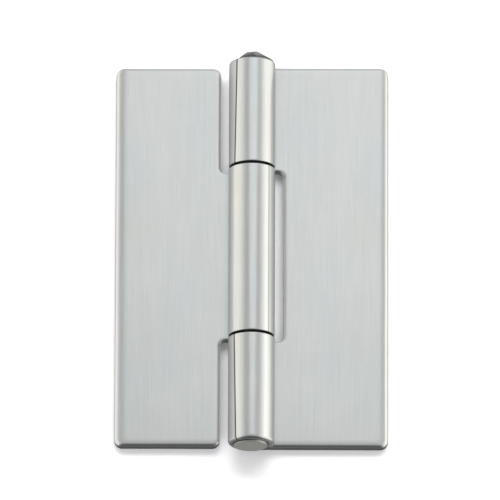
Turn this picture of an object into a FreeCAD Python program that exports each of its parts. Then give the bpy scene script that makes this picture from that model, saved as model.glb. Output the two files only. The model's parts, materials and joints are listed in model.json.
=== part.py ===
"""Plain weld-on butt hinge, lying open flat: two rolled sheet-metal leaves and a fixed pin.

Frame: +X across the right leaf, +Y along the pin towards its peened head, +Z out of the
front faces. Z = 0 is the flat back of both leaves. The pin's axis is at X = 0.
"""
import FreeCAD, Part
import math
import os

# Driving dimensions, millimetres and degrees.
OPEN_WIDTH = 70.0  # across both leaves, lying flat
RIGHT_LENGTH = 102.3  # leaf length along the pin
LEFT_LENGTH = 101.9
SHEET = 2.95  # sheet thickness
BORE = 6.0  # inside of a rolled knuckle
PIN_CLEARANCE = 0.05  # on the radius
MIDDLE_KNUCKLE = 44.9  # length of the left leaf's knuckle
KNUCKLE_GAP = 0.55  # between neighbouring knuckles
NOTCH_REACH = 8.0  # from the pin's axis to a notch's wall
CURL_END_ANGLE = 26.0  # how far below the axis the curl stops, above its own leaf

OUTER_CORNER = 2.0  # plan radius of a leaf's corners
NOTCH_CORNER = 1.5  # plan radius inside a notch
FRONT_EDGE = 0.8  # rounding where a front face meets an edge
BACK_EDGE = 0.3  # rounding where the back face meets an edge
KNUCKLE_EDGE = 0.3  # rounding at the knuckle ends that face a gap
TOP_EDGE = 0.5  # rounding at the top of the barrel
FOOT_EDGE = 0.95  # polished rounding at the foot of the barrel
FOOT_OVERHANG = 0.3  # the foot knuckle stands this far past the leaf's end

FOOT_RADIUS = 4.6  # the pin's foot, spread into a countersink
FOOT_RISE = 0.45  # the ground foot stands proud of its knuckle
FOOT_CHAMFER = 0.1
HEAD_SEAT = 0.05  # gap under the pin's head
HEAD_RADIUS = 4.7
HEAD_SHOULDER = 4.1  # radius where the skirt of the head turns into its cone
HEAD_SKIRT = 1.0  # height of that skirt
HEAD_HEIGHT = 2.95  # the whole head, from its seat to its peak
HEAD_TIP = 1.0  # radius of the hammered flat at the peak
HEAD_LEAN = 0.6  # the peak is this far off the axis, towards +X
SAME_PLACE = 1e-6  # closer together than this is the same place

# Worked out from them.
BARREL_RADIUS = BORE / 2 + SHEET
LEAF_REACH = OPEN_WIDTH / 2
RIGHT_END = RIGHT_LENGTH / 2
LEFT_END = LEFT_LENGTH / 2
MIDDLE_END = MIDDLE_KNUCKLE / 2
OUTER_START = MIDDLE_END + KNUCKLE_GAP
FOOT_END = -(RIGHT_END + FOOT_OVERHANG)
SINK_RADIUS = FOOT_RADIUS + PIN_CLEARANCE
HEAD_BASE = RIGHT_END + HEAD_SEAT
HEAD_TOP = HEAD_BASE + HEAD_HEIGHT
PIN_FACE = FOOT_END - FOOT_RISE
PIN_RADIUS = BORE / 2 - PIN_CLEARANCE

UP = FreeCAD.Vector(0, 0, 1)
PIN_LINE = FreeCAD.Vector(0, 1, 0)
AXIS_POINT = FreeCAD.Vector(0, 0, BARREL_RADIUS)
# The frame's origin is midway between the pin's two ends.
TO_FRAME = FreeCAD.Vector(0, -(HEAD_TOP + PIN_FACE) / 2, 0)


def extruded_outline(points, thickness):
    """A flat plate of the given plan outline, standing on Z = 0."""
    corners = [FreeCAD.Vector(x, y, 0) for x, y in points]
    wire = Part.makePolygon(corners + corners[:1])
    return Part.Face(wire).extrude(UP * thickness)


def upright_edges(solid, places):
    """The edges along Z that stand on the given plan points."""
    found = []
    for edge in solid.Edges:
        first, last = edge.Vertexes[0].Point, edge.Vertexes[-1].Point
        if abs(first.z - last.z) < SHEET / 2:
            continue
        for x, y in places:
            if math.hypot(first.x - x, first.y - y) < FRONT_EDGE / 2:
                found.append(edge)
    return found


def rim_edges(solid, height):
    """The edges of the face at this height, apart from those on the X = 0 plane."""
    found = []
    for edge in solid.Edges:
        box = edge.BoundBox
        level = abs(box.ZMin - height) < SAME_PLACE and abs(box.ZMax - height) < SAME_PLACE
        if level and max(abs(box.XMin), abs(box.XMax)) > SAME_PLACE:
            found.append(edge)
    return found


def plate(outline, outer_corners, notch_corners):
    """A leaf's flat part: rounded in plan, then eased along its front and back rims."""
    solid = extruded_outline(outline, SHEET)
    solid = solid.makeFillet(OUTER_CORNER, upright_edges(solid, outer_corners))
    solid = solid.makeFillet(NOTCH_CORNER, upright_edges(solid, notch_corners))
    solid = solid.makeFillet(FRONT_EDGE, rim_edges(solid, SHEET))
    return solid.makeFillet(BACK_EDGE, rim_edges(solid, 0))


def quarter_arc(radius_centre, y_centre, radius, end_direction):
    """A quarter round from the outer surface to an end face, in the (radius, Y) plane."""
    diagonal = radius * math.sqrt(0.5)
    return Part.Arc(
        FreeCAD.Vector(radius_centre + radius, y_centre, 0),
        FreeCAD.Vector(radius_centre + diagonal, y_centre + end_direction * diagonal, 0),
        FreeCAD.Vector(radius_centre, y_centre + end_direction * radius, 0),
    ).toShape()


def knuckle(low, high, low_edge, high_edge):
    """One rolled knuckle of the right leaf, between two places along the pin.

    Its wall's section is turned about the pin's axis: it starts above its own leaf, goes over
    the front and round the far side, and ends at the leaf's tangent line on the back.
    """
    inside = BORE / 2
    outside = BARREL_RADIUS
    low_round = quarter_arc(outside - low_edge, low + low_edge, low_edge, -1)
    high_round = quarter_arc(outside - high_edge, high - high_edge, high_edge, 1)
    bore_line = [
        FreeCAD.Vector(outside - high_edge, high, 0),
        FreeCAD.Vector(inside, high, 0),
        FreeCAD.Vector(inside, low, 0),
        FreeCAD.Vector(outside - low_edge, low, 0),
    ]
    edges = [
        low_round,
        Part.makeLine(
            FreeCAD.Vector(outside, low + low_edge, 0),
            FreeCAD.Vector(outside, high - high_edge, 0),
        ),
        high_round,
    ]
    for start, end in zip(bore_line, bore_line[1:]):
        edges.append(Part.makeLine(start, end))
    section = Part.Face(Part.Wire(Part.__sortEdges__(edges)))
    origin = FreeCAD.Vector(0, 0, 0)
    section.rotate(origin, PIN_LINE, CURL_END_ANGLE)
    wrap = 270.0 + CURL_END_ANGLE
    solid = section.revolve(origin, -PIN_LINE, wrap)
    solid.translate(AXIS_POINT)
    return solid


def one_solid(shape):
    """The single valid solid that a join or a cut has to leave."""
    assert len(shape.Solids) == 1 and shape.isValid()
    return shape.Solids[0]


def joined(flat, knuckles):
    """A leaf: its plate and its knuckles are one bent sheet."""
    return one_solid(flat.fuse(knuckles).removeSplitter())


def turned(profile):
    """A solid turned about the pin's axis from (radius, Y) points that start and end on it."""
    points = [FreeCAD.Vector(radius, y, 0) for radius, y in profile]
    section = Part.Face(Part.makePolygon(points + points[:1]))
    solid = section.revolve(FreeCAD.Vector(0, 0, 0), PIN_LINE, 360)
    solid.translate(AXIS_POINT)
    return solid


def right_leaf():
    """The leaf with the top and bottom knuckles and a notch for the middle one."""
    outer = [(LEAF_REACH, -RIGHT_END), (LEAF_REACH, RIGHT_END)]
    notch = [(NOTCH_REACH, OUTER_START), (NOTCH_REACH, -OUTER_START)]
    outline = [(0, -RIGHT_END)] + outer + [(0, RIGHT_END), (0, OUTER_START)]
    outline += notch + [(0, -OUTER_START)]
    flat = plate(outline, outer, notch)
    top = knuckle(OUTER_START, RIGHT_END, KNUCKLE_EDGE, TOP_EDGE)
    foot = knuckle(FOOT_END, -OUTER_START, FOOT_EDGE, KNUCKLE_EDGE)
    sink_top = FOOT_END + SINK_RADIUS - BORE / 2
    sink = turned([(0, FOOT_END), (SINK_RADIUS, FOOT_END), (BORE / 2, sink_top), (0, sink_top)])
    return one_solid(joined(flat, [top, foot]).cut(sink))


def left_leaf():
    """The leaf with the one long knuckle, on a tab between two notches."""
    far = [(-LEAF_REACH, LEFT_END), (-LEAF_REACH, -LEFT_END)]
    near = [(-NOTCH_REACH, -LEFT_END), (-NOTCH_REACH, LEFT_END)]
    notch = [(-NOTCH_REACH, -MIDDLE_END), (-NOTCH_REACH, MIDDLE_END)]
    outline = far + [near[0], notch[0], (0, -MIDDLE_END), (0, MIDDLE_END), notch[1], near[1]]
    flat = plate(outline, far + near, notch)
    middle = knuckle(-MIDDLE_END, MIDDLE_END, KNUCKLE_EDGE, KNUCKLE_EDGE)
    middle = middle.mirror(FreeCAD.Vector(0, 0, 0), FreeCAD.Vector(1, 0, 0))
    return joined(flat, [middle])


def disc_wire(radius, y, offset):
    """A circle across the pin, at this place along it, its centre offset towards +X."""
    centre = AXIS_POINT + FreeCAD.Vector(offset, y, 0)
    return Part.Wire(Part.Circle(centre, PIN_LINE, radius).toShape())


def hinge_pin():
    """The fixed pin: a foot that fills its countersink, a plain shank and a peened head."""
    cone_top = FOOT_END + FOOT_RADIUS - PIN_RADIUS
    shank = turned(
        [
            (0, PIN_FACE),
            (FOOT_RADIUS - FOOT_CHAMFER, PIN_FACE),
            (FOOT_RADIUS, PIN_FACE + FOOT_CHAMFER),
            (FOOT_RADIUS, FOOT_END),
            (PIN_RADIUS, cone_top),
            (PIN_RADIUS, HEAD_BASE),
            (HEAD_RADIUS, HEAD_BASE),
            (HEAD_SHOULDER, HEAD_BASE + HEAD_SKIRT),
            (0, HEAD_BASE + HEAD_SKIRT),
        ]
    )
    base = disc_wire(HEAD_SHOULDER, HEAD_BASE + HEAD_SKIRT, 0)
    peak = disc_wire(HEAD_TIP, HEAD_TOP, HEAD_LEAN)
    cone = Part.makeLoft([base, peak], True, True)
    return one_solid(shank.fuse(cone).removeSplitter())


NODES = {
    "right_leaf": right_leaf,
    "left_leaf": left_leaf,
    "hinge_pin": hinge_pin,
}


def main():
    os.makedirs("parts", exist_ok=True)
    for name, make in NODES.items():
        shape = make()
        shape.translate(TO_FRAME)
        shape.exportStep("parts/" + name + ".step")
        box = shape.BoundBox
        size = (round(box.XLength, 2), round(box.YLength, 2), round(box.ZLength, 2))
        print(name, "size", size, "volume", round(shape.Volume), "mm3")
    print("pin axis: X 0, Z", BARREL_RADIUS, "mm; mid-length of the leaves: Y", TO_FRAME.y)


main()
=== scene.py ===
# %% [markdown]
# # A plain weld-on door hinge
# This notebook dresses a finished CAD frame of a butt hinge. The frame says where every piece
# is and how it turns; here each piece gets the mesh and the metal that a close look deserves.
# The hinge has three real pieces: a right leaf with two rolled knuckles, a left leaf with one
# long knuckle, and a pin that is hammered over at its head and ground flat at its foot.

# %% Load the frame
import json
import math
import random

import bmesh
import bpy
from mathutils import Matrix, Vector


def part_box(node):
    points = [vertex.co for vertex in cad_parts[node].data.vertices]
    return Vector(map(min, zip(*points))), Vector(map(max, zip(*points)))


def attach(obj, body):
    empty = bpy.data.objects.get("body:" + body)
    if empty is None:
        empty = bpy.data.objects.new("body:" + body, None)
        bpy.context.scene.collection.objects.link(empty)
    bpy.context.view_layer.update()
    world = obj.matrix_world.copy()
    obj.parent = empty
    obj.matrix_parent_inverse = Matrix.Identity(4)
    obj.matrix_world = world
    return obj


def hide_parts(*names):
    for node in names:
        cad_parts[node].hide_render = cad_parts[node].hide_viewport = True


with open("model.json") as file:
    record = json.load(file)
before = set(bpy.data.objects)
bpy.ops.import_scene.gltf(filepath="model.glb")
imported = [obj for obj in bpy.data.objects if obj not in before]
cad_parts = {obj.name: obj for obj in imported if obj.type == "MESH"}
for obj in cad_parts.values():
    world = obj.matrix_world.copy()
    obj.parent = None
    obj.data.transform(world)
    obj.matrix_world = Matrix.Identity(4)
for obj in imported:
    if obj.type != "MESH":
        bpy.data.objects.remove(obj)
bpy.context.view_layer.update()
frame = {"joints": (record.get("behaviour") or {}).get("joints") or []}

# %% [markdown]
# ## The sizes everything else follows
# The joint in the record gives the pin's axis, and the boxes of the CAD nodes give how far each
# piece reaches. Only the sizes that a box can't tell, such as the sheet's thickness, are typed.

# %% Sizes, in metres
mm = 0.001
hinge_joint = frame["joints"][0]
MID_Y = hinge_joint["pos_m"][1]
BARREL = hinge_joint["pos_m"][2]  # outer radius of the barrel, and the height of its axis
SHEET = 2.95 * mm
BORE = BARREL - SHEET
NOTCH = 8.0 * mm  # from the pin's axis to the wall of a notch
CURL_END = math.radians(26)  # the curl stops this far short of coming full circle to the side

right_low, right_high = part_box("right_leaf")
left_low, left_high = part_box("left_leaf")
pin_low, pin_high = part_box("hinge_pin")
REACH = right_high.x
RIGHT_TOP = right_high.y
RIGHT_BOTTOM = 2 * MID_Y - RIGHT_TOP
FOOT = right_low.y
LEFT_TOP = left_high.y
LEFT_BOTTOM = left_low.y
MIDDLE_HALF = 22.45 * mm
OUTER_KNUCKLE = MIDDLE_HALF + 0.55 * mm
print("barrel radius", round(BARREL / mm, 2), "mm; leaf reach", round(REACH / mm, 2), "mm")

# %% [markdown]
# ## The camera
# The hinge lies on a table and is seen from above through a long lens, tipped about 18 degrees
# towards the foot of the pin. A long lens keeps the leaves' edges parallel.

# %% Camera
VIEW_TILT = math.radians(17.8)
FRAME_WIDTH = 128.4 * mm  # what the picture's width takes in at the hinge
CAMERA_AWAY = 4.0
ROLL = math.radians(0.20)
SENSOR_WIDTH = 36.0  # millimetres, as Blender counts them
FAR_CLIP = 50.0
AIM_SIDE = -0.44 * mm  # the middle of the picture, from the middle of the leaves
AIM_UP = 2.52 * mm

camera_data = bpy.data.cameras.new("long_lens")
camera_data.sensor_width = SENSOR_WIDTH
camera_data.lens = SENSOR_WIDTH * CAMERA_AWAY / FRAME_WIDTH
camera_data.clip_end = FAR_CLIP
camera = bpy.data.objects.new("camera", camera_data)
bpy.context.collection.objects.link(camera)
toward_camera = Vector((0, -math.sin(VIEW_TILT), math.cos(VIEW_TILT)))
picture_up = Vector((0, math.cos(VIEW_TILT), math.sin(VIEW_TILT)))
aim = Vector((AIM_SIDE, MID_Y, 0)) + picture_up * AIM_UP
camera.location = aim + toward_camera * CAMERA_AWAY
turned = Matrix.Rotation(VIEW_TILT, 3, "X") @ Matrix.Rotation(ROLL, 3, "Z")
camera.rotation_euler = turned.to_euler()
bpy.context.scene.camera = camera
print("lens", round(camera_data.lens), "mm")

# %% [markdown]
# ## Three helpers for node trees
# Skies, materials and Geometry Nodes are all trees of small sums. These helpers add one node
# each, and take either a number or another node's output for every input, so that the trees
# further down read like formulas.

# %% Node helpers
def feed(tree, value, socket):
    """Gives a socket a plain number, or links it to another node's output."""
    if isinstance(value, bpy.types.NodeSocket):
        tree.links.new(value, socket)
    else:
        socket.default_value = value


def calc(tree, operation, first, second=0.0):
    """One Math node."""
    node = tree.nodes.new("ShaderNodeMath")
    node.operation = operation
    feed(tree, first, node.inputs[0])
    feed(tree, second, node.inputs[1])
    return node.outputs[0]


def step(tree, value, start, end, low=0.0, high=1.0):
    """A smooth step: low before start, high after end."""
    node = tree.nodes.new("ShaderNodeMapRange")
    node.interpolation_type = "SMOOTHSTEP"
    feed(tree, value, node.inputs["Value"])
    for name, number in (("From Min", start), ("From Max", end), ("To Min", low), ("To Max", high)):
        feed(tree, number, node.inputs[name])
    return node.outputs["Result"]


# %% [markdown]
# ## The studio
# Polished metal shows its surroundings, so the light is half of its look. The sky here is a
# plain light tent: soft white walls left and right, a greyer roof, a grey floor, and a darker
# side where the camera stands. Each part is one smooth step of the ray's direction.

# %% Studio sky
ROOF_LEFT = 0.60  # brightness of the tent's roof, towards its left and right
ROOF_RIGHT = 0.67
WALL_LEFT = 1.28
WALL_RIGHT = 1.48
CAMERA_SIDE = 0.20  # share of the light that is left on the camera's side
HEAD_SIDE_GAIN = 1.25  # the wall beyond the pin's head is this much brighter
GROUND = 0.70  # how bright the floor looks in the metal
NEAR_GROUND = 0.45  # the same, on the camera's side

world = bpy.data.worlds.new("light_tent")
bpy.context.scene.world = world
world.use_nodes = True
sky = world.node_tree
sky.nodes.clear()
direction = sky.nodes.new("ShaderNodeSeparateXYZ")
sky.links.new(sky.nodes.new("ShaderNodeTexCoord").outputs["Generated"], direction.inputs[0])
across, along, height = direction.outputs
roof = step(sky, across, -0.15, 0.30, ROOF_LEFT, ROOF_RIGHT)
left_wall = step(sky, across, -0.97, -0.38, WALL_LEFT - ROOF_LEFT, 0.0)
right_wall = step(sky, across, 0.55, 0.97, 0.0, WALL_RIGHT - ROOF_RIGHT)
glow = calc(sky, "ADD", roof, calc(sky, "ADD", left_wall, right_wall))
camera_shade = step(sky, along, -0.80, -0.16, 1.0 - CAMERA_SIDE, 0.0)
camera_shade = calc(sky, "MULTIPLY", camera_shade, step(sky, height, -0.93, -0.40, 0.0, 1.0))
sideways = calc(sky, "ABSOLUTE", across)
camera_shade = calc(sky, "MULTIPLY", camera_shade, step(sky, sideways, 0.40, 0.80, 1.0, 0.0))
glow = calc(sky, "MULTIPLY", glow, calc(sky, "SUBTRACT", 1.0, camera_shade))
glow = calc(sky, "MULTIPLY", glow, step(sky, along, 0.30, 0.90, 1.0, HEAD_SIDE_GAIN))
floor_glow = step(sky, along, -0.30, 0.20, NEAR_GROUND, GROUND)
glow = calc(sky, "MULTIPLY", glow, step(sky, height, -0.95, -0.35, floor_glow, 1.0))
hue = sky.nodes.new("ShaderNodeCombineColor")  # the walls are a little warmer than the roof
feed(sky, step(sky, sideways, 0.45, 0.85, 1.0, 1.035), hue.inputs["Red"])
hue.inputs["Green"].default_value = 1.0
feed(sky, step(sky, sideways, 0.45, 0.85, 1.0, 0.95), hue.inputs["Blue"])
background = sky.nodes.new("ShaderNodeBackground")
sky.links.new(hue.outputs["Color"], background.inputs["Color"])
feed(sky, glow, background.inputs["Strength"])
sky_output = sky.nodes.new("ShaderNodeOutputWorld")
sky.links.new(background.outputs[0], sky_output.inputs["Surface"])
print("sky:", len(sky.nodes), "nodes")

# %% [markdown]
# Four lamps hang near the hinge. Two are softboxes that the metal mirrors. Because the one
# overhead is near, its reflection slides off the ends of the leaves, and they darken a little
# towards their outer corners. The one at the side puts a bright streak on the right of the
# barrel. The other two, key and fill, are hidden from reflections, so they light only the paper:
# the key casts the soft shadow towards the camera, and the fill keeps that shadow pale.

# %% Lamps
def softbox(name, place, width, depth, radiance):
    """An elliptical area light that faces the hinge; radiance is how bright it looks."""
    lamp_data = bpy.data.lights.new(name, "AREA")
    lamp_data.shape = "ELLIPSE"
    lamp_data.size = width
    lamp_data.size_y = depth
    lamp_data.energy = radiance * math.pi * math.pi * width * depth / 4
    lamp = bpy.data.objects.new(name, lamp_data)
    lamp.location = place
    lamp.rotation_euler = Vector(place).to_track_quat("Z", "Y").to_euler()
    bpy.context.collection.objects.link(lamp)
    print(name, round(lamp_data.energy, 3), "W")
    return lamp


softbox("overhead", place=(0.035, 0.17, 0.30), width=0.24, depth=0.32, radiance=0.47)
softbox("right_side", place=(0.45, 0.05, 0.12), width=0.24, depth=0.16, radiance=0.30)
key = softbox("key", place=(0.04, 0.40, 0.47), width=1.00, depth=0.36, radiance=7.0)
fill = softbox("fill", place=(0.0, -0.45, 0.40), width=1.00, depth=0.30, radiance=2.9)
for lamp in (key, fill):
    lamp.visible_glossy = False

# %% [markdown]
# The table is plain white paper. It is hidden from reflections, so that the underside of the
# barrel keeps its dark edge, as it would over a studio table that is only lit from above.

# %% Table
TABLE_WIDTH = 30.0
TABLE_CLEARANCE = 0.02 * mm  # keeps the paper and the backs of the leaves apart

bpy.context.scene.view_settings.view_transform = "Standard"
bpy.ops.mesh.primitive_plane_add(size=TABLE_WIDTH)
table = bpy.context.object
table.name = "table"
paper = bpy.data.materials.new("white_paper")
paper.use_nodes = True
paper_shader = paper.node_tree.nodes["Principled BSDF"]
paper_shader.inputs["Base Color"].default_value = (0.755, 0.75, 0.77, 1)
paper_shader.inputs["Roughness"].default_value = 0.9
paper_shader.inputs["Specular IOR Level"].default_value = 0.1
table.data.materials.append(paper)
table.location.z = -TABLE_CLEARANCE
table.visible_glossy = False

# %% [markdown]
# ## The blank
# A real leaf starts as a flat blank, punched out of sheet, whose edge is then rolled round a
# pin. The mesh is made the same way. First comes the blank's plan as a rounded outline: `a` is
# the distance outwards from the line where the curl starts, and the stretch with negative `a`
# is what will be rolled.

# %% Outline of a blank
ROLL_RADIUS = BARREL - SHEET / 2  # the middle of the sheet keeps its length
ROLL_LENGTH = ROLL_RADIUS * (1.5 * math.pi + CURL_END)
TIP = -ROLL_LENGTH  # where the rolled edge of the blank ends
ARC_STEPS = 9
print("length of sheet in a knuckle", round(ROLL_LENGTH / mm, 1), "mm")


def corner_arc(before, corner, after):
    """Points round one corner, as (point, unit vector into the sheet), and how far it turns."""
    here = Vector(corner[:2])
    back = (Vector(before[:2]) - here).normalized()
    ahead = (Vector(after[:2]) - here).normalized()
    turn = math.pi - back.angle(ahead)
    convex = back.x * ahead.y - back.y * ahead.x < 0
    hand = 1 if convex else -1
    start = here + back * corner[2] * math.tan(turn / 2)
    centre = start + Vector((back.y, -back.x)) * hand * corner[2]
    arc = []
    for k in range(ARC_STEPS + 1):
        spoke = Matrix.Rotation(hand * turn * k / ARC_STEPS, 2) @ (start - centre)
        arc.append((centre + spoke, -hand * spoke.normalized()))
    return arc


# %% [markdown]
# The rim of each face is eased. On the front it is a worn, pillowed edge: a small round that
# runs on into a slope so shallow that mostly its reflection shows. Long outer edges are pillowed
# the most, because a belt sander rolls over them. The short ends and the long sides of the
# notches have about half of that, and the short sides of the notches have the least.

# %% Edge profile
RIM_ROUND = 0.75 * mm
RIM_SHARP = 0.3 * mm  # the same at the notches and at the ends of the knuckles
PILLOW_DROP = 0.80 * mm  # how far the face has fallen at the edge itself
PILLOW_BAND = 3.6 * mm  # how far in the slope starts
INNER_CORNER = 0.8 * mm  # plan radius where the slope starts
PILLOW_POWER = 3.4  # how quickly the slope dies out
SINK_DEPTH = 1.65 * mm  # the countersink for the pin's foot, cut into the bottom knuckle's mouth
SINK_LIP = 0.02 * mm  # its slope starts this far below the front face
SINK_BAND = 1.2 * mm  # how near the foot, and how far from the tip, the blank has to be for it
FRONT_RINGS = (0.0, 0.012, 0.03, 0.055, 0.085, 0.12, 0.17, 0.24, 0.33, 0.44, 0.57, 0.70, 0.85, 1.0)
BACK_EASE = 0.3 * mm
BACK_STEPS = 6
LONG_EDGE = 1.0  # shares of the full pillow
SHORT_EDGE = 0.5
NOTCH_LONG = 0.48
NOTCH_SHORT = 0.2


def smooth(value, start, end):
    """0 before start, 1 after end, smooth between."""
    t = min(max((value - start) / (end - start), 0.0), 1.0)
    return t * t * (3 - 2 * t)


def rim_round(share):
    """Radius of the small round at the very edge."""
    return RIM_SHARP + (RIM_ROUND - RIM_SHARP) * smooth(share, NOTCH_LONG, SHORT_EDGE)


def band_width(share):
    """Width of the eased band for this share of the full pillow."""
    return rim_round(share) + (PILLOW_BAND - RIM_ROUND) * share


def front_drop(fraction, share):
    """How far the front face has fallen below flat, at this fraction of its band."""
    radius = rim_round(share)
    short = max(radius - fraction * band_width(share), 0.0)
    small_round = radius - math.sqrt(radius**2 - short**2)
    return small_round + share * PILLOW_DROP * (1 - fraction) ** PILLOW_POWER


def sink_share(point):
    """1 where the mouth of the bottom knuckle is countersunk, 0 elsewhere."""
    if point.y > FOOT + SINK_BAND:
        return 0.0
    on_curl = smooth(point.x, 1.0 * mm, -0.6 * mm)
    clear_of_tip = smooth(point.x, TIP + 0.5 * mm, TIP + SINK_BAND)
    return on_curl * clear_of_tip


def sunk_drop(fraction, share, sink):
    """The same fall, with the countersink's straight slope where there is one."""
    inset = fraction * (band_width(share) + sink * SINK_DEPTH)
    slope = max(SINK_DEPTH - SINK_LIP - inset, 0.0)
    return front_drop(fraction, share) * (1 - sink) + slope * sink


def edge_share(corner, next_corner):
    """The share of pillow that a straight edge has."""
    in_notch = max(abs(y - MID_Y) for y in (corner[1], next_corner[1])) < OUTER_KNUCKLE + 0.1 * mm
    upright = abs(corner[0] - next_corner[0]) < abs(corner[1] - next_corner[1])
    if upright and corner[0] < NOTCH + 0.1 * mm:
        return NOTCH_LONG
    if in_notch:
        return NOTCH_SHORT
    return LONG_EDGE if upright else SHORT_EDGE


# %% [markdown]
# Each point of the outline also knows how far in its band reaches. On a sharp outside corner a
# band wider than the corner's radius would fold over itself, so there the band's inner edge
# gets a corner of its own.

# %% Bands along the outline
TINY = 1e-6  # metres: nearer than this is the same point
UPRIGHT = 0.3  # an edge that goes across less than this for its length meets no station


def flat_share(a):
    """0 on the curl and 1 well out on the flat leaf: the pillow fades out before the bend."""
    return smooth(a, 0.5 * mm, 5.0 * mm)


def plan_outline(corners, stations):
    """The rim as (point, unit vector inwards, vector to the band's inner edge, share)."""
    count = len(corners)
    rim = []
    for i, corner in enumerate(corners):
        before, after = corners[i - 1], corners[(i + 1) % count]
        share_in, share_out = edge_share(before, corner), edge_share(corner, after)
        here = Vector(corner[:2])
        back = (Vector(before[:2]) - here).normalized()
        ahead = (Vector(after[:2]) - here).normalized()
        convex = back.x * ahead.y - back.y * ahead.x < 0
        own_corner = convex and flat_share(corner[0]) == 1.0
        inner = here + ahead * band_width(share_in) + back * band_width(share_out)
        inner += (back + ahead) * INNER_CORNER
        for k, (point, inward) in enumerate(corner_arc(before, corner, after)):
            share = share_in + (share_out - share_in) * smooth(k, 0, ARC_STEPS)
            share *= flat_share(point.x)
            reach = inward * band_width(share)
            if own_corner:
                reach = inner - inward * INNER_CORNER - point
            rim.append((point, inward, reach, share))
        run_start = rim[-1][0]
        run_end = corner_arc(corner, after, corners[(i + 2) % count])[0][0]
        inward = Vector((-ahead.y, ahead.x))
        if abs(ahead.x) < UPRIGHT:
            continue
        travels = [(a - run_start.x) / ahead.x for a in stations]
        run_length = (run_end - run_start).length
        for travel in sorted(t for t in travels if TINY < t < run_length - TINY):
            point = run_start + ahead * travel
            share = share_out * flat_share(point.x)
            rim.append((point, inward, inward * band_width(share), share))
    return rim


# %% [markdown]
# Now the blank itself: rings of faces run round the rim, from the flat back over the sheared
# wall to the front, and the two flat faces are closed. Only the stretch that will bend is cut
# into strips, with finer strips where the crease will be.

# %% Build a blank
CURL_STEP = math.radians(4.0)
CREASE = math.radians(132.0)  # round the curl from its start to the crease
CREASE_BEND = math.radians(7.0)  # how far the crease turns aside at the ends of the barrel
CREASE_CLEAR = math.radians(5.5)  # the even steps stop this far from it, for finer ones
CREASE_STATIONS = (-4.5, -3.2, -2.4, -1.7, -1.1, -0.55, 0.0, 0.55, 1.1, 1.7, 2.4, 3.2, 4.5)
FOOT_POLISH = 0.85  # the foot of the barrel was polished after it was ground
SUPPORT_INSET = 0.25 * mm  # a ring of faces this wide keeps the back flat beside its rim
WALL_SHARE = 0.02  # the walls' darker look, their dark sheared finish and painted shade, ends this far across the front band
CUT_TOLERANCE = 1e-7
MERGE_DISTANCE = 2e-7
curl_turns = int(ROLL_LENGTH / ROLL_RADIUS / CURL_STEP)
curl_angles = [CURL_STEP * k for k in range(curl_turns)]
curl_angles = [angle for angle in curl_angles if abs(angle - CREASE) > CREASE_CLEAR]
curl_angles += [CREASE + math.radians(offset) for offset in CREASE_STATIONS]
fade_stations = [k * 0.5 * mm for k in range(1, 12)]
STATIONS = [-ROLL_RADIUS * angle for angle in curl_angles] + fade_stations


def ring(bm, points, heights, wear_and_shade):
    """A closed ring of vertices; wear_and_shade is 1 on the sheared wall and 0 on brushed faces, and
    darkens the wall for its dark sheared finish and as painted shade.
    """
    layer = bm.verts.layers.float["rim"]
    made = []
    for point, level in zip(points, heights):
        vertex = bm.verts.new((point.x, point.y, level))
        at_foot = smooth(point.x, 0.0, -2 * mm) * smooth(point.y, FOOT + 1.3 * mm, FOOT + 1.0 * mm)
        vertex[layer] = wear_and_shade * (1 - FOOT_POLISH * at_foot)
        made.append(vertex)
    return made


def build_blank(name, corners, back_ease):
    """A flat, closed blank; back_ease(a, y) is the rounding of the back rim at that point."""
    rim = plan_outline(corners, STATIONS)
    eases = [back_ease(point.x, point.y) for point, _, _, _ in rim]
    sinks = [sink_share(point) for point, _, _, _ in rim]
    bm = bmesh.new()
    bm.verts.layers.float.new("rim")
    support = [p + inward * (e + SUPPORT_INSET) for (p, inward, _, _), e in zip(rim, eases)]
    rings = [ring(bm, support, [0.0] * len(rim), 0.0)]
    for k in range(BACK_STEPS + 1):
        angle = math.pi / 2 * k / BACK_STEPS
        inset, rise = 1 - math.sin(angle), 1 - math.cos(angle)
        points = [p + inward * e * inset for (p, inward, _, _), e in zip(rim, eases)]
        heights = [e * rise for e in eases]
        rings.append(ring(bm, points, heights, (k / BACK_STEPS) ** 2))
    for fraction in FRONT_RINGS:
        points = [
            p + (reach + inward * sink * SINK_DEPTH) * fraction
            for (p, inward, reach, _), sink in zip(rim, sinks)
        ]
        heights = [
            SHEET - sunk_drop(fraction, share, sink)
            for (_, _, _, share), sink in zip(rim, sinks)
        ]
        rings.append(ring(bm, points, heights, max(0.0, 1 - fraction / WALL_SHARE)))
    for lower, upper in zip(rings, rings[1:]):
        for i in range(len(rim)):
            j = (i + 1) % len(rim)
            bm.faces.new((lower[i], lower[j], upper[j], upper[i]))
    bm.faces.new(list(reversed(rings[0])))
    bm.faces.new(rings[-1])
    for a in STATIONS:
        bmesh.ops.bisect_plane(
            bm,
            geom=bm.verts[:] + bm.edges[:] + bm.faces[:],
            dist=CUT_TOLERANCE,
            plane_co=(a, 0, 0),
            plane_no=(1, 0, 0),
        )
    bmesh.ops.remove_doubles(bm, verts=bm.verts, dist=MERGE_DISTANCE)
    mesh = bpy.data.meshes.new(name)
    bm.to_mesh(mesh)
    bm.free()
    return mesh


# %% [markdown]
# The two blanks differ only in their corners, each given as (distance outwards, place along the
# pin, plan radius). The right blank has two tongues to roll and a notch between them; the left
# one has a single tongue between two notches.

# %% The two blanks
CORNER = 2.0 * mm
NOTCH_CORNER = 1.5 * mm
TIP_CORNER = 0.45 * mm
FOOT_EASE = 0.95 * mm
TOP_EASE = 0.5 * mm


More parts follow.
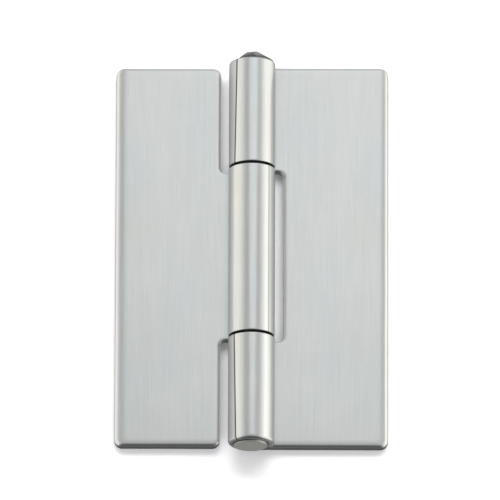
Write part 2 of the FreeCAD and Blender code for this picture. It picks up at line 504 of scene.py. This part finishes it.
def right_ease(a, y):
    """The back rim is turned to a full round at the foot and less at the top of the barrel."""
    on_barrel = smooth(a, 1.6 * mm, -0.8 * mm) * smooth(a, TIP + 0.2 * mm, TIP + 2.6 * mm)
    if y < RIGHT_BOTTOM + 2 * mm:
        return BACK_EASE + (FOOT_EASE - BACK_EASE) * on_barrel
    if y > RIGHT_TOP - 2 * mm:
        return BACK_EASE + (TOP_EASE - BACK_EASE) * on_barrel
    return BACK_EASE


right_blank = build_blank(
    "right_blank",
    [
        (TIP, FOOT, TIP_CORNER),
        (-0.5 * mm, FOOT, 0.9 * mm),
        (1.2 * mm, RIGHT_BOTTOM, 0.9 * mm),
        (REACH, RIGHT_BOTTOM, CORNER),
        (REACH, RIGHT_TOP, CORNER),
        (TIP, RIGHT_TOP, TIP_CORNER),
        (TIP, MID_Y + OUTER_KNUCKLE, TIP_CORNER),
        (NOTCH, MID_Y + OUTER_KNUCKLE, NOTCH_CORNER),
        (NOTCH, MID_Y - OUTER_KNUCKLE, NOTCH_CORNER),
        (TIP, MID_Y - OUTER_KNUCKLE, TIP_CORNER),
    ],
    right_ease,
)
left_blank = build_blank(
    "left_blank",
    [
        (REACH, LEFT_BOTTOM, CORNER),
        (REACH, LEFT_TOP, CORNER),
        (NOTCH, LEFT_TOP, CORNER),
        (NOTCH, MID_Y + MIDDLE_HALF, NOTCH_CORNER),
        (TIP, MID_Y + MIDDLE_HALF, TIP_CORNER),
        (TIP, MID_Y - MIDDLE_HALF, TIP_CORNER),
        (NOTCH, MID_Y - MIDDLE_HALF, NOTCH_CORNER),
        (NOTCH, LEFT_BOTTOM, CORNER),
    ],
    lambda a, y: BACK_EASE,
)
for blank in (right_blank, left_blank):
    print(blank.name, len(blank.vertices), "points", len(blank.polygons), "faces")

# %% [markdown]
# ## Rolling the blanks
# A Geometry Nodes tree bends each blank. Everything on the curl's side of the tangent line
# turns about the pin's axis by its length of sheet over the middle radius, which is how a real
# sheet rolls. The tree first stores where each point lay on the flat blank, because the
# brushing was done on flat sheet and its grain should bend with the metal. A fine crease runs
# along every knuckle on the side away from its own leaf, and the tree presses it in too.

# %% The rolling tree
CREASE_WIDTH = math.radians(3.4)  # from the middle of the crease to either side
RIGHT_CREASE = 0.06 * mm
LEFT_CREASE = 0.03 * mm
CREASE_SKIN = 0.4 * mm  # the groove is whole down to here in the sheet,
CREASE_FLOOR = 1.5 * mm  # and gone by here, so that it doesn't show in the bore
STRIP_FADE = math.radians(1.5)  # the darker, rougher strip fades out over this much, up to the crease
BEND_REACH = 5.5 * mm  # the crease turns aside this near the ends of the barrel
BEND_WHOLE = 0.15  # radians from the crease: all of the sheet turns aside with it up to here,
BEND_NONE = 0.65  # and none of it from here on
FLOAT_INPUTS = (
    "Outer Radius",
    "Middle Radius",
    "Side",
    "Crease Angle",
    "Crease Width",
    "Crease Depth",
    "Crease Bend",
    "Low End",
    "High End",
    "Dull Strip",
)


def tree_input(tree, name, kind):
    """A named input on the tree's own interface."""
    return tree.interface.new_socket(name=name, in_out="INPUT", socket_type=kind)


roll = bpy.data.node_groups.new("roll_knuckles", "GeometryNodeTree")
roll_inputs = {"Geometry": tree_input(roll, "Geometry", "NodeSocketGeometry")}
for input_name in FLOAT_INPUTS:
    roll_inputs[input_name] = tree_input(roll, input_name, "NodeSocketFloat")
roll_inputs["Material"] = tree_input(roll, "Material", "NodeSocketMaterial")
roll.interface.new_socket(name="Geometry", in_out="OUTPUT", socket_type="NodeSocketGeometry")
given = roll.nodes.new("NodeGroupInput").outputs
flat = roll.nodes.new("ShaderNodeSeparateXYZ")
flat_position = roll.nodes.new("GeometryNodeInputPosition").outputs[0]
roll.links.new(flat_position, flat.inputs[0])
flat_a, flat_y, flat_z = flat.outputs

remember = roll.nodes.new("GeometryNodeStoreNamedAttribute")
remember.data_type = "FLOAT_VECTOR"
remember.domain = "POINT"
remember.inputs["Name"].default_value = "blank"
roll.links.new(given["Geometry"], remember.inputs["Geometry"])
roll.links.new(flat_position, remember.inputs["Value"])

curl_length = calc(roll, "MAXIMUM", calc(roll, "MULTIPLY", flat_a, -1.0), 0.0)
angle = calc(roll, "DIVIDE", curl_length, given["Middle Radius"])
from_crease = calc(roll, "ABSOLUTE", calc(roll, "SUBTRACT", angle, given["Crease Angle"]))
groove = step(roll, from_crease, 0.0, given["Crease Width"], given["Crease Depth"], 0.0)
groove = calc(roll, "MULTIPLY", groove, step(roll, flat_z, CREASE_SKIN, CREASE_FLOOR, 1.0, 0.0))
strip_end = calc(roll, "SUBTRACT", given["Crease Angle"], STRIP_FADE)
strip = calc(roll, "MULTIPLY", step(roll, angle, 0.0, 1.0), given["Dull Strip"])
strip_left = step(roll, angle, strip_end, given["Crease Angle"], 1.0, 0.0)
strip = calc(roll, "MULTIPLY", strip, strip_left)
marked = remember.outputs["Geometry"]
# the groove's depth is stored as crease, and the material paints shade along it
crease_mark = calc(roll, "DIVIDE", groove, RIGHT_CREASE)
for mark_name, mark_value in (("crease", crease_mark), ("strip", strip)):
    mark = roll.nodes.new("GeometryNodeStoreNamedAttribute")
    mark.data_type = "FLOAT"
    mark.domain = "POINT"
    mark.inputs["Name"].default_value = mark_name
    roll.links.new(marked, mark.inputs["Geometry"])
    roll.links.new(mark_value, mark.inputs["Value"])
    marked = mark.outputs["Geometry"]
radius = calc(roll, "SUBTRACT", calc(roll, "SUBTRACT", given["Outer Radius"], flat_z), groove)
to_low = calc(roll, "SUBTRACT", flat_y, given["Low End"])
to_high = calc(roll, "SUBTRACT", given["High End"], flat_y)
to_end = calc(roll, "MINIMUM", to_low, to_high)
aside = step(roll, to_end, 0.0, BEND_REACH, given["Crease Bend"], 0.0)
aside = calc(roll, "MULTIPLY", aside, step(roll, from_crease, BEND_WHOLE, BEND_NONE, 1.0, 0.0))
angle = calc(roll, "ADD", angle, aside)
rolled_x = calc(roll, "MULTIPLY", radius, calc(roll, "SINE", angle))
out_x = calc(roll, "SUBTRACT", calc(roll, "MAXIMUM", flat_a, 0.0), rolled_x)
out_x = calc(roll, "MULTIPLY", out_x, given["Side"])
rolled_z = calc(roll, "MULTIPLY", radius, calc(roll, "COSINE", angle))
out_z = calc(roll, "SUBTRACT", given["Outer Radius"], rolled_z)
rolled = roll.nodes.new("ShaderNodeCombineXYZ")
for socket, value in zip(rolled.inputs, (out_x, flat_y, out_z)):
    roll.links.new(value, socket)
bend = roll.nodes.new("GeometryNodeSetPosition")
roll.links.new(marked, bend.inputs["Geometry"])
roll.links.new(rolled.outputs[0], bend.inputs["Position"])
paint = roll.nodes.new("GeometryNodeSetMaterial")
realize = roll.nodes.new("GeometryNodeRealizeInstances")
roll.links.new(bend.outputs["Geometry"], realize.inputs["Geometry"])
roll.links.new(realize.outputs["Geometry"], paint.inputs["Geometry"])
roll.links.new(given["Material"], paint.inputs["Material"])
roll_output = roll.nodes.new("NodeGroupOutput")
roll.links.new(paint.outputs["Geometry"], roll_output.inputs["Geometry"])
print("rolling tree:", len(roll.nodes), "nodes")

# %% [markdown]
# ## Brushed steel
# Metal like this is several layers of faint noise added to one grey. These helpers make the
# noise, read a value that is stored on the mesh, and add layers up.

# %% Material helpers
def stretched_noise(tree, place, cells, detail, seed):
    """Noise whose cells have the given sizes along the three axes."""
    scale = tree.nodes.new("ShaderNodeVectorMath")
    scale.operation = "MULTIPLY"
    tree.links.new(place, scale.inputs[0])
    scale.inputs[1].default_value = [1 / cell for cell in cells]
    noise = tree.nodes.new("ShaderNodeTexNoise")
    noise.noise_dimensions = "4D"
    noise.inputs["W"].default_value = seed
    noise.inputs["Scale"].default_value = 1.0
    noise.inputs["Detail"].default_value = detail
    tree.links.new(scale.outputs[0], noise.inputs["Vector"])
    return noise.outputs["Fac"]


def named_value(tree, name):
    """The output sockets of an attribute stored on the mesh."""
    node = tree.nodes.new("ShaderNodeAttribute")
    node.attribute_name = name
    return node.outputs


def swing(tree, noise, amount):
    """Noise turned into a sum that swings about zero."""
    return calc(tree, "MULTIPLY", calc(tree, "SUBTRACT", noise, 0.5), amount)


def total(tree, *terms):
    """Several values added up."""
    result = terms[0]
    for term in terms[1:]:
        result = calc(tree, "ADD", result, term)
    return result


def tinted(tree, value, tint):
    """A grey value as a colour, with its red, green and blue scaled a little."""
    colour = tree.nodes.new("ShaderNodeCombineColor")
    for socket, share in zip(colour.inputs, tint):
        tree.links.new(calc(tree, "MULTIPLY", value, share), socket)
    return colour.outputs[0]


def bump(tree, height_value, distance):
    """Small relief that only the light sees."""
    node = tree.nodes.new("ShaderNodeBump")
    node.inputs["Strength"].default_value = 1.0
    node.inputs["Distance"].default_value = distance
    tree.links.new(height_value, node.inputs["Height"])
    return node.outputs["Normal"]


# %% [markdown]
# Both leaves are one material. Its coordinates are the flat blank's, in millimetres. Long thin
# noise makes the brushed hairlines. The curl was polished after rolling, so it is a little
# smoother and darker. The sheared walls are rougher and much darker: partly their dark sheared
# finish, partly painted shade and painted dark reflection. The crease is rougher, and painted
# shade darkens its groove. On the right leaf a strip up to the crease is darker and rougher.

# %% Leaf steel
STEEL_GREY = 0.645
STEEL_ROUGH = 0.30
LEAF_RELIEF = 0.0000015  # metres: how deep the brushing is

leaf_steel = bpy.data.materials.new("leaf_steel")
leaf_steel.use_nodes = True
steel = leaf_steel.node_tree
steel_shader = steel.nodes["Principled BSDF"]
steel_shader.inputs["Metallic"].default_value = 1.0

to_mm = steel.nodes.new("ShaderNodeVectorMath")
to_mm.operation = "SCALE"
to_mm.inputs["Scale"].default_value = 1 / mm
steel.links.new(named_value(steel, "blank")["Vector"], to_mm.inputs[0])
place = to_mm.outputs[0]
split = steel.nodes.new("ShaderNodeSeparateXYZ")
steel.links.new(place, split.inputs[0])
place_a = split.outputs[0]
# the rim mark darkens the sheared walls: partly their dark sheared finish, partly painted shade and
# painted dark reflection
rim = named_value(steel, "rim")["Fac"]

hairlines = stretched_noise(steel, place, (0.12, 16.0, 0.5), 2.0, 1.0)
streaks = stretched_noise(steel, place, (0.45, 14.0, 2.0), 2.0, 5.0)
clouds = stretched_noise(steel, place, (9.0, 14.0, 9.0), 2.0, 9.0)
specks = stretched_noise(steel, place, (0.28, 0.45, 0.28), 1.0, 17.0)
barrel_share = step(steel, place_a, -0.5, -3.0)
crease_line = named_value(steel, "crease")["Fac"]
strip_share = named_value(steel, "strip")["Fac"]

grey = total(
    steel,
    STEEL_GREY,
    swing(steel, hairlines, 0.10),
    swing(steel, streaks, 0.09),
    swing(steel, clouds, 0.06),
    swing(steel, specks, 0.05),
    calc(steel, "MULTIPLY", barrel_share, -0.025),
    # painted shade and dark reflection on the sheared walls, on top of their dark sheared finish
    calc(steel, "MULTIPLY", rim, -0.415),
    # painted shade along the crease's groove
    calc(steel, "MULTIPLY", crease_line, -0.56),
    # a strip up to the crease is darker in colour
    calc(steel, "MULTIPLY", strip_share, -0.11),
)
stain = swing(steel, stretched_noise(steel, place, (15.0, 26.0, 15.0), 2.0, 13.0), 0.07)
warm = calc(steel, "ADD", 0.965, stain)
cool = calc(steel, "SUBTRACT", 0.99, stain)
steel.links.new(tinted(steel, grey, (warm, 1.0, cool)), steel_shader.inputs["Base Color"])
rough = total(
    steel,
    STEEL_ROUGH,
    swing(steel, hairlines, 0.10),
    calc(steel, "MULTIPLY", barrel_share, -0.05),
    calc(steel, "MULTIPLY", rim, 0.15),
    calc(steel, "MULTIPLY", crease_line, 0.30),
    calc(steel, "MULTIPLY", strip_share, 0.18),
)
steel.links.new(rough, steel_shader.inputs["Roughness"])
relief = total(steel, hairlines, calc(steel, "MULTIPLY", streaks, 1.5))
steel.links.new(bump(steel, relief, LEAF_RELIEF), steel_shader.inputs["Normal"])
print("leaf steel:", len(steel.nodes), "nodes")

# %% [markdown]
# Each blank goes through the tree once. The result is frozen into a plain mesh, its normals are
# turned outwards (the left leaf was mirrored), the CAD node it stands for is hidden, and it is
# hung on its body.

# %% Roll both leaves
def finish_piece(piece, node, body):
    """Smooth shading, outward normals, and its place in the frame."""
    bm = bmesh.new()
    bm.from_mesh(piece.data)
    bmesh.ops.recalc_face_normals(bm, faces=bm.faces)
    loose = sum(1 for edge in bm.edges if not edge.is_manifold)
    volume = bm.calc_volume()
    bm.to_mesh(piece.data)
    bm.free()
    piece.data.polygons.foreach_set("use_smooth", [True] * len(piece.data.polygons))
    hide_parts(node)
    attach(piece, body)
    print(piece.name, "open edges", loose, "volume", round(volume / mm**3), "mm3")


def roll_leaf(name, blank, side, crease_depth, dull_strip):
    """One leaf: the blank, bent by the tree and frozen."""
    shaped = bpy.data.objects.new("blank_" + name, blank)
    bpy.context.collection.objects.link(shaped)
    bend_modifier = shaped.modifiers.new("roll", "NODES")
    bend_modifier.node_group = roll
    values = {
        "Outer Radius": BARREL,
        "Middle Radius": ROLL_RADIUS,
        "Side": side,
        "Crease Angle": CREASE,
        "Crease Width": CREASE_WIDTH,
        "Crease Depth": crease_depth,
        "Crease Bend": CREASE_BEND,
        "Low End": FOOT,
        "High End": RIGHT_TOP,
        "Dull Strip": dull_strip,
        "Material": leaf_steel,
    }
    for input_name, value in values.items():
        bend_modifier[roll_inputs[input_name].identifier] = value
    evaluated = shaped.evaluated_get(bpy.context.evaluated_depsgraph_get())
    mesh = bpy.data.meshes.new_from_object(evaluated)
    bpy.data.objects.remove(shaped)
    mesh.name = name
    leaf = bpy.data.objects.new(name, mesh)
    bpy.context.collection.objects.link(leaf)
    return leaf


right_leaf = roll_leaf("right_leaf_steel", right_blank, 1.0, RIGHT_CREASE, 1.0)
finish_piece(right_leaf, "right_leaf", "fixed_leaf")
left_leaf = roll_leaf("left_leaf_steel", left_blank, -1.0, LEFT_CREASE, 0.0)
finish_piece(left_leaf, "left_leaf", "swinging_leaf")

# %% [markdown]
# ## The pin
# The pin is one turned bar. Its foot was spread into a countersink in the bottom knuckle and
# ground flat. Its head was hammered over by hand, so it is a lopsided cone of small flats: each
# blow is a tilted plane, and the head's surface is the lowest of them all, softened a little.
# It starts from the plain dome that the outline below gives, in millimetres.

# %% Pin sizes
PIN_RADIUS = BORE - 0.05 * mm
FOOT_RADIUS = 4.35 * mm
FOOT_SHIFT = -0.2 * mm  # the ground disc sits a little to one side
HEAD_BASE = RIGHT_TOP + 0.05 * mm
HEAD_RADIUS = 4.95 * mm
HEAD_SKIRT = 0.05 * mm  # upright wall at the very edge of the head
HEAD_RISE = 2.9 * mm
HEAD_OFFSET = 0.65 * mm  # the hammered head sits to one side of the pin
HEAD_LEAN = -0.50 * mm  # and its peak leans back by this much
BOX_MARGIN = 0.02 * mm  # the peak stays this far inside the CAD node's box
PIN_SEGMENTS = 160
HEAD_RINGS = 48
HEAD_OUTLINE = (
    (4.95, 0.0),
    (4.87, 0.4),
    (4.45, 1.0),
    (3.5, 1.85),
    (2.0, 2.6),
    (1.0, 2.85),
    (0.0, 2.95),
)


def dome_height(r):
    """Height of the unhammered head above its seat, at a distance from its axis."""
    for (outer_r, low), (inner_r, high) in zip(HEAD_OUTLINE, HEAD_OUTLINE[1:]):
        if r >= inner_r * mm:
            share = (outer_r * mm - r) / ((outer_r - inner_r) * mm)
            return (low + (high - low) * max(share, 0.0)) * mm
    return HEAD_OUTLINE[-1][1] * mm


# %% [markdown]
# Nine blows go round the head, each at its own distance, depth and tilt. The generator is seeded,
# so they fall in the same places every time. Where two flats meet, the ridge is marked, and the
# material darkens it.

# %% Hammer blows
BLOWS = 9
BLOW_SOFTNESS = 0.02 * mm
RIDGE_WIDTH = 0.30 * mm  # two flats this close in height count as meeting
blows = []
dice = random.Random(11)
for k in range(BLOWS):
    turn = 2 * math.pi * (k + dice.uniform(-0.3, 0.3)) / BLOWS
    reach = dice.uniform(1.7, 3.4) * mm
    slope = dice.uniform(-0.95, -0.45)
    level = dome_height(reach) - dice.uniform(0.03, 0.22) * mm
    lean = dice.uniform(-0.35, 0.35)
    blows.append((turn, reach, slope, level, lean))


def hammered_height(x, z):
    """The head's height where every blow has left its flat, and how near two flats meet there."""
    r = math.hypot(x, z)
    heights = [dome_height(r)]
    for turn, reach, slope, level, lean in blows:
        outward = x * math.cos(turn) + z * math.sin(turn)
        aside = -x * math.sin(turn) + z * math.cos(turn)
        heights.append(level + slope * (outward - reach) + lean * aside)
    lowest, second = sorted(heights)[:2]
    crowd = sum(math.exp((lowest - h) / BLOW_SOFTNESS) for h in heights)
    return lowest - BLOW_SOFTNESS * math.log(crowd), smooth(second - lowest, RIDGE_WIDTH, 0.0)


# %% [markdown]
# The pin is turned as one closed skin, from the middle of its foot to its peak. Then the foot and
# the head are shifted sideways, and the head's skin is lowered to the blows.

# %% Turn the pin
def spin(bm, profile):
    """Skins rings of (radius, y) about the pin's axis; a radius of zero is a single point."""
    rings = []
    for radius, y in profile:
        if radius == 0:
            rings.append([bm.verts.new((0, y, BARREL))])
            continue
        ring_points = []
        for k in range(PIN_SEGMENTS):
            turn = 2 * math.pi * k / PIN_SEGMENTS
            x, z = radius * math.cos(turn), BARREL + radius * math.sin(turn)
            ring_points.append(bm.verts.new((x, y, z)))
        rings.append(ring_points)
    for lower, upper in zip(rings, rings[1:]):
        for k in range(PIN_SEGMENTS):
            j = (k + 1) % PIN_SEGMENTS
            corners = [lower[k % len(lower)], lower[j % len(lower)]]
            corners += [upper[j % len(upper)], upper[k % len(upper)]]
            bm.faces.new(dict.fromkeys(corners))  # a single point counts once: a triangle


foot_rim = [(FOOT_RADIUS * share, pin_low.y) for share in (0.0, 0.25, 0.5, 0.75, 0.9)]
foot_rim += [(FOOT_RADIUS - 0.14 * mm, pin_low.y), (FOOT_RADIUS - 0.05 * mm, pin_low.y + 0.03 * mm)]
foot_rim += [(FOOT_RADIUS, pin_low.y + 0.10 * mm), (FOOT_RADIUS, FOOT - 0.02 * mm)]
foot_rim += [(FOOT_RADIUS - 0.04 * mm, FOOT + 0.10 * mm), (PIN_RADIUS + 0.02 * mm, FOOT + 1.5 * mm)]
shank = [(PIN_RADIUS, FOOT + 1.7 * mm), (PIN_RADIUS, MID_Y), (PIN_RADIUS, HEAD_BASE - 0.1 * mm)]
seat = [(PIN_RADIUS, HEAD_BASE), (HEAD_RADIUS * 0.9, HEAD_BASE), (HEAD_RADIUS - 0.06 * mm, HEAD_BASE)]
head_radii = [HEAD_RADIUS * (1 - k / HEAD_RINGS) for k in range(HEAD_RINGS)] + [0.0]
head = [(r, HEAD_BASE + HEAD_SKIRT + dome_height(r)) for r in head_radii]
bm = bmesh.new()
dent = bm.verts.layers.float.new("dent")
spin(bm, foot_rim + shank + seat + head)
for vertex in bm.verts:
    x, z = vertex.co.x, vertex.co.z - BARREL
    if vertex.co.y > HEAD_BASE - 0.01 * mm and math.hypot(x, z) > PIN_RADIUS + 0.1 * mm:
        vertex.co.x = x + HEAD_OFFSET
    if vertex.co.y < FOOT:
        vertex.co.x = x + FOOT_SHIFT
    if vertex.co.y > HEAD_BASE + 0.02 * mm:
        soft_height, meeting = hammered_height(x, z)
        vertex[dent] = meeting
        risen = max(soft_height, BOX_MARGIN)
        vertex.co.y = min(HEAD_BASE + HEAD_SKIRT + risen, pin_high.y - BOX_MARGIN)
        vertex.co.x = x + HEAD_OFFSET + HEAD_LEAN * (risen / HEAD_RISE) ** 2
pin_mesh = bpy.data.meshes.new("hinge_pin_steel")
bm.to_mesh(pin_mesh)
bm.free()
pin = bpy.data.objects.new("hinge_pin_steel", pin_mesh)
bpy.context.collection.objects.link(pin)

# %% [markdown]
# The pin's steel is rougher than the leaves': grey-brown and beaten at the head, and dull with
# fine grinding marks on the flat foot.

# %% Pin steel
BAR_GREY = 0.80
BAR_ROUGH = 0.42
BAR_RELIEF = 0.00001  # metres

pin_steel = bpy.data.materials.new("pin_steel")
pin_steel.use_nodes = True
bar = pin_steel.node_tree
bar_shader = bar.nodes["Principled BSDF"]
bar_shader.inputs["Metallic"].default_value = 1.0
bar_mm = bar.nodes.new("ShaderNodeVectorMath")
bar_mm.operation = "SCALE"
bar_mm.inputs["Scale"].default_value = 1 / mm
bar.links.new(bar.nodes.new("ShaderNodeTexCoord").outputs["Object"], bar_mm.inputs[0])
bar_place = bar_mm.outputs[0]
bar_split = bar.nodes.new("ShaderNodeSeparateXYZ")
bar.links.new(bar_place, bar_split.inputs[0])
head_share = step(bar, bar_split.outputs[1], 40.0, 45.0)
blotches = stretched_noise(bar, bar_place, (1.6, 1.6, 1.6), 3.0, 2.0)
grit = stretched_noise(bar, bar_place, (0.25, 0.25, 0.25), 3.0, 4.0)
grinding = stretched_noise(bar, bar_place, (0.15, 3.0, 6.0), 2.0, 6.0)
# painted shade and reflection of the knuckle: the head is darkened low down, where it sits on the
# knuckle
seat_shade = step(bar, bar_split.outputs[1], HEAD_BASE / mm + 0.5, HEAD_BASE / mm + 1.6, 1.0, 0.0)
seat_shade = calc(bar, "MULTIPLY", seat_shade, head_share)
# the head is darker towards its peak
peak_darkening = step(bar, bar_split.outputs[1], HEAD_BASE / mm + 2.35, HEAD_BASE / mm + 2.75)
# the foot is darkened above its ground face: grime, and painted shade over its chamfer and in the
# crevice round the disc
foot_grime_and_shade = step(bar, bar_split.outputs[1], pin_low.y / mm + 0.005, pin_low.y / mm + 0.06)
foot_grime_and_shade = calc(bar, "MULTIPLY", foot_grime_and_shade, calc(bar, "SUBTRACT", 1.0, head_share))
bar_grey = total(
    bar,
    BAR_GREY,
    calc(bar, "MULTIPLY", head_share, -0.44),
    calc(bar, "MULTIPLY", seat_shade, -0.24),
    calc(bar, "MULTIPLY", foot_grime_and_shade, -0.42),
    calc(bar, "MULTIPLY", swing(bar, blotches, 0.4), head_share),
    calc(bar, "MULTIPLY", named_value(bar, "dent")["Fac"], -0.13),
    calc(bar, "MULTIPLY", peak_darkening, -0.18),
    swing(bar, grinding, 0.16),
)
bar.links.new(tinted(bar, bar_grey, (1.0, 0.995, 0.945)), bar_shader.inputs["Base Color"])
head_rough = calc(bar, "MULTIPLY", head_share, 0.05)
bar_rough = total(bar, BAR_ROUGH, swing(bar, blotches, 0.2), head_rough)
bar.links.new(bar_rough, bar_shader.inputs["Roughness"])
bar_relief = total(bar, grit, calc(bar, "MULTIPLY", grinding, 0.5))
bar.links.new(bump(bar, bar_relief, BAR_RELIEF), bar_shader.inputs["Normal"])
pin.data.materials.append(pin_steel)
finish_piece(pin, "hinge_pin", "fixed_leaf")
